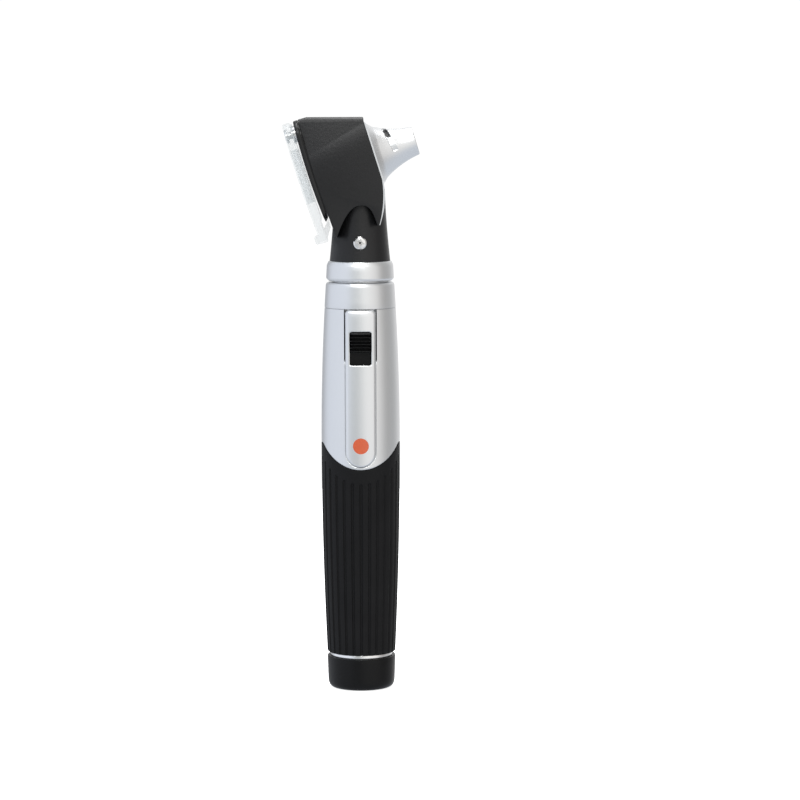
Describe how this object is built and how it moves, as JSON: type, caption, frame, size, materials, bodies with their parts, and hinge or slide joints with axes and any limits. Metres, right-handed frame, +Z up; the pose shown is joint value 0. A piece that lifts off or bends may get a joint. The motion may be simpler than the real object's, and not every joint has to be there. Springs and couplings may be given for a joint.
{
  "type": "otoscope",
  "caption": "Pocket otoscope: ribbed battery handle with clip and slide switch, and a tilted fibre-optic head with a flared cone and swivelling magnifier window.",
  "frame": {"origin": "centre of the end cap's flat base, on which the instrument can stand", "axes": "+Z up the handle's axis, +X the way the examiner looks (towards the cone), -Y the side with the clip and switch"},
  "size_m": [0.0382, 0.023, 0.1599],
  "materials": {
    "satin_silver": "satin, slightly warm silver",
    "clip_silver": "satin spring steel",
    "bright_trim": "polished",
    "black_grip": "fine matt moulding",
    "black_satin": "satin moulding",
    "black_head": "fine-textured moulding",
    "clear_window": "clear moulded acrylic",
    "lens_glass": "polished",
    "light_guide": "bundled glass fibre",
    "inner_metal": "machined",
    "contact_brass": "stamped",
    "spring_steel": "bright wire and turned steel",
    "white_insulator": "moulded",
    "black_insulator": "moulded",
    "seal_rubber": "smooth",
    "cell_sleeve": null,
    "badge_orange": "enamel"
  },
  "bodies": {
    "handle": {"battery_tube": "inner_metal", "grip_sleeve": "black_grip", "upper_shell": "satin_silver", "trim_ring": "bright_trim", "tube_seal": "seal_rubber", "collar": "satin_silver", "insulating_sleeve": "black_insulator", "contact_bush": "white_insulator", "contact_spring": "spring_steel", "battery_lower": "cell_sleeve", "battery_upper": "cell_sleeve", "switch_base": "black_satin", "contact_strip": "contact_brass"},
    "contact_pin": {"contact_pin": "contact_brass"},
    "switch": {"switch_knob": "black_satin", "switch_wiper": "contact_brass"},
    "clip": {"pocket_clip": "clip_silver", "clip_badge": "badge_orange"},
    "cap_carrier": {"spring_cup": "contact_brass", "battery_spring": "spring_steel"},
    "end_cap": {"end_cap": "black_satin", "cap_insert": "inner_metal"},
    "head": {"coupling_ring": "satin_silver", "head_plug": "inner_metal", "neck": "black_head", "neck_screw": "spring_steel", "lamp_contact": "contact_brass", "lamp_insulator": "white_insulator", "lamp_body": "inner_metal", "lamp_board": "white_insulator", "lamp_dome": "lens_glass", "fibre_bundle": "light_guide", "fibre_ring": "light_guide", "inner_cone": "black_head", "speculum_cone": "satin_silver", "front_bezel": "satin_silver", "head_case": "black_head", "rear_frame": "black_head", "pivot_pin": "spring_steel", "pivot_washer": "spring_steel"},
    "window": {"window_plate": "clear_window", "magnifier_lens": "lens_glass"}
  },
  "joints": [
    {"name": "head_turn", "type": "hinge", "parent": "handle", "child": "head", "pos_m": [0, 0, 0.1145], "axis": [0, 0, 1], "range_deg": [0, 60]},
    {"name": "window_swivel", "type": "hinge", "parent": "head", "child": "window", "pos_m": [-0.01861, 0, 0.15502], "axis": [0.9537, 0, 0.3007], "range_deg": [-100, 100]},
    {"name": "switch_slide", "type": "slide", "parent": "handle", "child": "switch", "axis": [0, 0, -1], "range_m": [0, 0.003]},
    {"name": "clip_flex", "type": "hinge", "parent": "handle", "child": "clip", "pos_m": [0, -0.0094, 0.1052], "axis": [-1, 0, 0], "range_deg": [0, 4], "stiffness_Nm_per_rad": 0.3, "springref_deg": -1.15},
    {"name": "contact_plunge", "type": "slide", "parent": "handle", "child": "contact_pin", "axis": [0, 0, -1], "range_m": [0, 0.0008], "stiffness_N_per_m": 100, "springref_m": -0.0005, "deforming": ["contact_spring"]},
    {"name": "cap_draw", "type": "slide", "parent": "handle", "child": "cap_carrier", "axis": [0, 0, -1], "range_m": [0, 0.006]},
    {"name": "cap_turn", "type": "hinge", "parent": "cap_carrier", "child": "end_cap", "pos_m": [0, 0, 0], "axis": [0, 0, -1], "range_deg": [0, 1440]}
  ],
  "couplings": [
    {"joint": "cap_draw", "follows": "cap_turn", "m_per_rad": 0.00023873}
  ]
}
